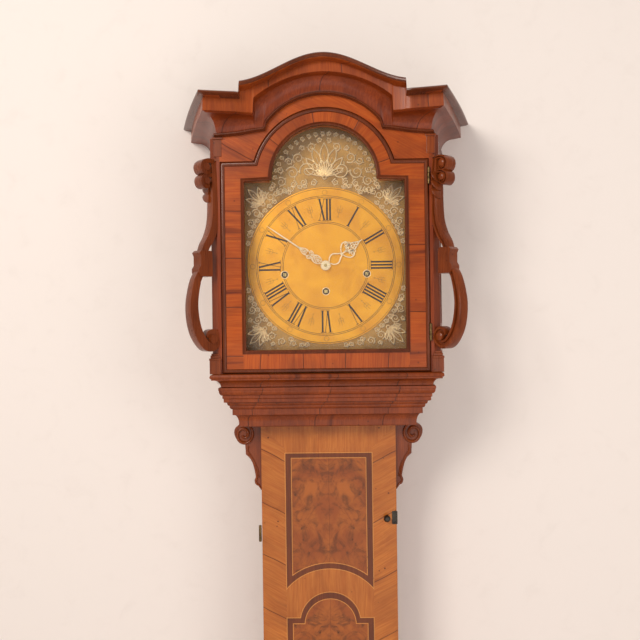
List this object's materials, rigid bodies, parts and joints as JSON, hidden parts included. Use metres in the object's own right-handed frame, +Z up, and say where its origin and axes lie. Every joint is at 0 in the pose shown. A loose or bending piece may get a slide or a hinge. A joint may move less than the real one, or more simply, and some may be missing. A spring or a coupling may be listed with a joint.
{
  "type": "longcase clock",
  "caption": "Tall weight-driven floor clock: arched glazed hood with side scrolls, narrow trunk with a door, box base.",
  "frame": {"origin": "centre of the bounding box at floor level, under the plinth", "axes": "+Z up, -Y out of the dial towards the viewer, +X to the right seen from the front"},
  "size_m": [0.5704, 0.293, 2.25],
  "materials": {
    "cornice_wood": "polished red-brown veneer",
    "hood_wood": "polished cross-grain veneer",
    "moulding_wood": "polished moulding",
    "scroll_wood": "dark polished carving",
    "trunk_wood": "polished crossbanded veneer",
    "side_wood": "polished veneer",
    "inner_wood": "plain planed softwood and oak",
    "clear_glass": "clear pane",
    "plate_brass": "brushed brass",
    "wheel_brass": "brass wheels on steel arbors",
    "dial_ground": "dark matted ground",
    "dial_gilt": "gilt disc with dark numerals",
    "cast_gilt": "pale gilt casting",
    "hinge_brass": "aged brass",
    "bell_metal": "turned bell metal",
    "steel": "bright steel",
    "iron": "dark iron",
    "weight_brass": "polished brass shell",
    "gut": "gut line"
  },
  "bodies": {
    "case": {"backboard": "inner_wood", "trunk_left_side": "side_wood", "trunk_right_side": "side_wood", "trunk_bottom_rail": "trunk_wood", "seat_board": "inner_wood", "base_front": "trunk_wood", "base_left_side": "side_wood", "base_right_side": "side_wood", "plinth": "moulding_wood", "base_cap": "moulding_wood", "throat_moulding": "moulding_wood", "corbel_left": "scroll_wood", "corbel_right": "scroll_wood", "front_plate": "plate_brass", "back_plate": "plate_brass", "dial_plate": "dial_ground", "dial_disc": "dial_gilt", "spandrels": "cast_gilt", "bell": "bell_metal", "trunk_hinge_pins": "hinge_brass", "strike_line": "gut", "going_line": "gut", "chime_line": "gut"},
    "hood": {"hood_base": "moulding_wood", "hood_left_side": "hood_wood", "hood_right_side": "hood_wood", "hood_left_glass": "clear_glass", "hood_right_glass": "clear_glass", "frieze": "hood_wood", "cornice": "cornice_wood", "hood_top": "inner_wood", "scroll_left": "scroll_wood", "scroll_right": "scroll_wood", "hood_hinge_pins": "hinge_brass"},
    "hood_door": {"hood_door_left_stile": "hood_wood", "hood_door_right_stile": "hood_wood", "hood_door_bottom_rail": "hood_wood", "hood_door_arch_rail": "hood_wood", "hood_door_glass": "clear_glass", "hood_door_hinges": "hinge_brass"},
    "trunk_door": {"trunk_door": "trunk_wood", "trunk_door_hinges": "hinge_brass"},
    "trunk_latch": {"trunk_latch": "iron"},
    "centre_arbor": {"centre_wheel": "wheel_brass", "minute_hand": "cast_gilt"},
    "hour_pipe": {"hour_wheel": "plate_brass", "hour_hand": "cast_gilt"},
    "minute_wheel": {"minute_wheel": "plate_brass"},
    "third_arbor": {"third_wheel": "wheel_brass"},
    "escape_arbor": {"escape_wheel": "wheel_brass"},
    "great_wheel": {"great_wheel": "plate_brass"},
    "anchor": {"anchor": "steel"},
    "pendulum": {"pendulum": "weight_brass"},
    "hammer": {"hammer": "steel"},
    "strike_barrel": {"strike_barrel": "plate_brass"},
    "going_barrel": {"going_barrel": "plate_brass"},
    "chime_barrel": {"chime_barrel": "plate_brass"},
    "strike_weight": {"strike_weight": "weight_brass"},
    "going_weight": {"going_weight": "weight_brass"},
    "chime_weight": {"chime_weight": "weight_brass"}
  },
  "joints": [
    {"name": "hood_slide", "type": "slide", "parent": "case", "child": "hood", "axis": [0, -1, 0], "range_m": [0, 0.26]},
    {"name": "hood_door_hinge", "type": "hinge", "parent": "hood", "child": "hood_door", "pos_m": [0.1826, -0.0811, 1.9], "axis": [0, 0, 1], "range_deg": [0, 95]},
    {"name": "trunk_door_hinge", "type": "hinge", "parent": "case", "child": "trunk_door", "pos_m": [-0.127, -0.0045, 1.1], "axis": [0, 0, -1], "range_deg": [0, 100]},
    {"name": "latch_turn", "type": "hinge", "parent": "trunk_door", "child": "trunk_latch", "pos_m": [0.1055, 0, 1.428], "axis": [0, 1, 0], "range_deg": [0, 90]},
    {"name": "hands_turn", "type": "hinge", "parent": "case", "child": "centre_arbor", "pos_m": [0, 0, 1.889], "axis": [0, 1, 0], "continuous": true},
    {"name": "hour_pipe_turn", "type": "hinge", "parent": "case", "child": "hour_pipe", "pos_m": [0, 0, 1.889], "axis": [0, 1, 0], "continuous": true},
    {"name": "minute_wheel_turn", "type": "hinge", "parent": "case", "child": "minute_wheel", "pos_m": [-0.02631, 0, 1.87942], "axis": [0, 1, 0], "continuous": true},
    {"name": "third_turn", "type": "hinge", "parent": "case", "child": "third_arbor", "pos_m": [0.01748, 0, 1.91411], "axis": [0, 1, 0], "continuous": true},
    {"name": "escape_turn", "type": "hinge", "parent": "case", "child": "escape_arbor", "pos_m": [0, 0, 1.937], "axis": [0, 1, 0], "continuous": true},
    {"name": "great_wheel_turn", "type": "hinge", "parent": "case", "child": "great_wheel", "pos_m": [0, 0, 1.8426], "axis": [0, 1, 0], "continuous": true},
    {"name": "anchor_swing", "type": "hinge", "parent": "case", "child": "anchor", "pos_m": [0, 0, 1.973], "axis": [0, 1, 0], "range_deg": [-2.3, 2.3]},
    {"name": "pendulum_swing", "type": "hinge", "parent": "case", "child": "pendulum", "pos_m": [0, 0, 1.973], "axis": [0, 1, 0], "range_deg": [-2.2, 2.2]},
    {"name": "hammer_lift", "type": "hinge", "parent": "case", "child": "hammer", "pos_m": [0.066, 0, 1.96], "axis": [0, 1, 0], "range_deg": [0, 12], "stiffness_Nm_per_rad": 0.25, "springref_deg": -6.88},
    {"name": "strike_weight_rise", "type": "slide", "parent": "case", "child": "strike_weight", "axis": [0, 0, 1], "range_m": [0, 0.92], "deforming": ["strike_line"]},
    {"name": "strike_barrel_turn", "type": "hinge", "parent": "case", "child": "strike_barrel", "pos_m": [-0.074, 0, 1.8735], "axis": [0, 1, 0], "continuous": true},
    {"name": "going_weight_rise", "type": "slide", "parent": "case", "child": "going_weight", "axis": [0, 0, 1], "range_m": [0, 0.92], "deforming": ["going_line"]},
    {"name": "going_barrel_turn", "type": "hinge", "parent": "case", "child": "going_barrel", "pos_m": [0, 0, 1.8426], "axis": [0, 1, 0], "continuous": true},
    {"name": "chime_weight_rise", "type": "slide", "parent": "case", "child": "chime_weight", "axis": [0, 0, 1], "range_m": [0, 0.92], "deforming": ["chime_line"]},
    {"name": "chime_barrel_turn", "type": "hinge", "parent": "case", "child": "chime_barrel", "pos_m": [0.074, 0, 1.8735], "axis": [0, 1, 0], "continuous": true}
  ],
  "couplings": [
    {"joint": "hour_pipe_turn", "follows": "hands_turn", "ratio": 0.083333},
    {"joint": "minute_wheel_turn", "follows": "hands_turn", "ratio": -0.5},
    {"joint": "third_turn", "follows": "hands_turn", "ratio": -7.5},
    {"joint": "escape_turn", "follows": "hands_turn", "ratio": 60},
    {"joint": "great_wheel_turn", "follows": "hands_turn", "ratio": -0.083333},
    {"joint": "anchor_swing", "follows": "pendulum_swing", "ratio": 1},
    {"joint": "strike_barrel_turn", "follows": "strike_weight_rise", "rad_per_m": -96.154},
    {"joint": "going_barrel_turn", "follows": "going_weight_rise", "rad_per_m": -96.154},
    {"joint": "chime_barrel_turn", "follows": "chime_weight_rise", "rad_per_m": 96.154}
  ]
}
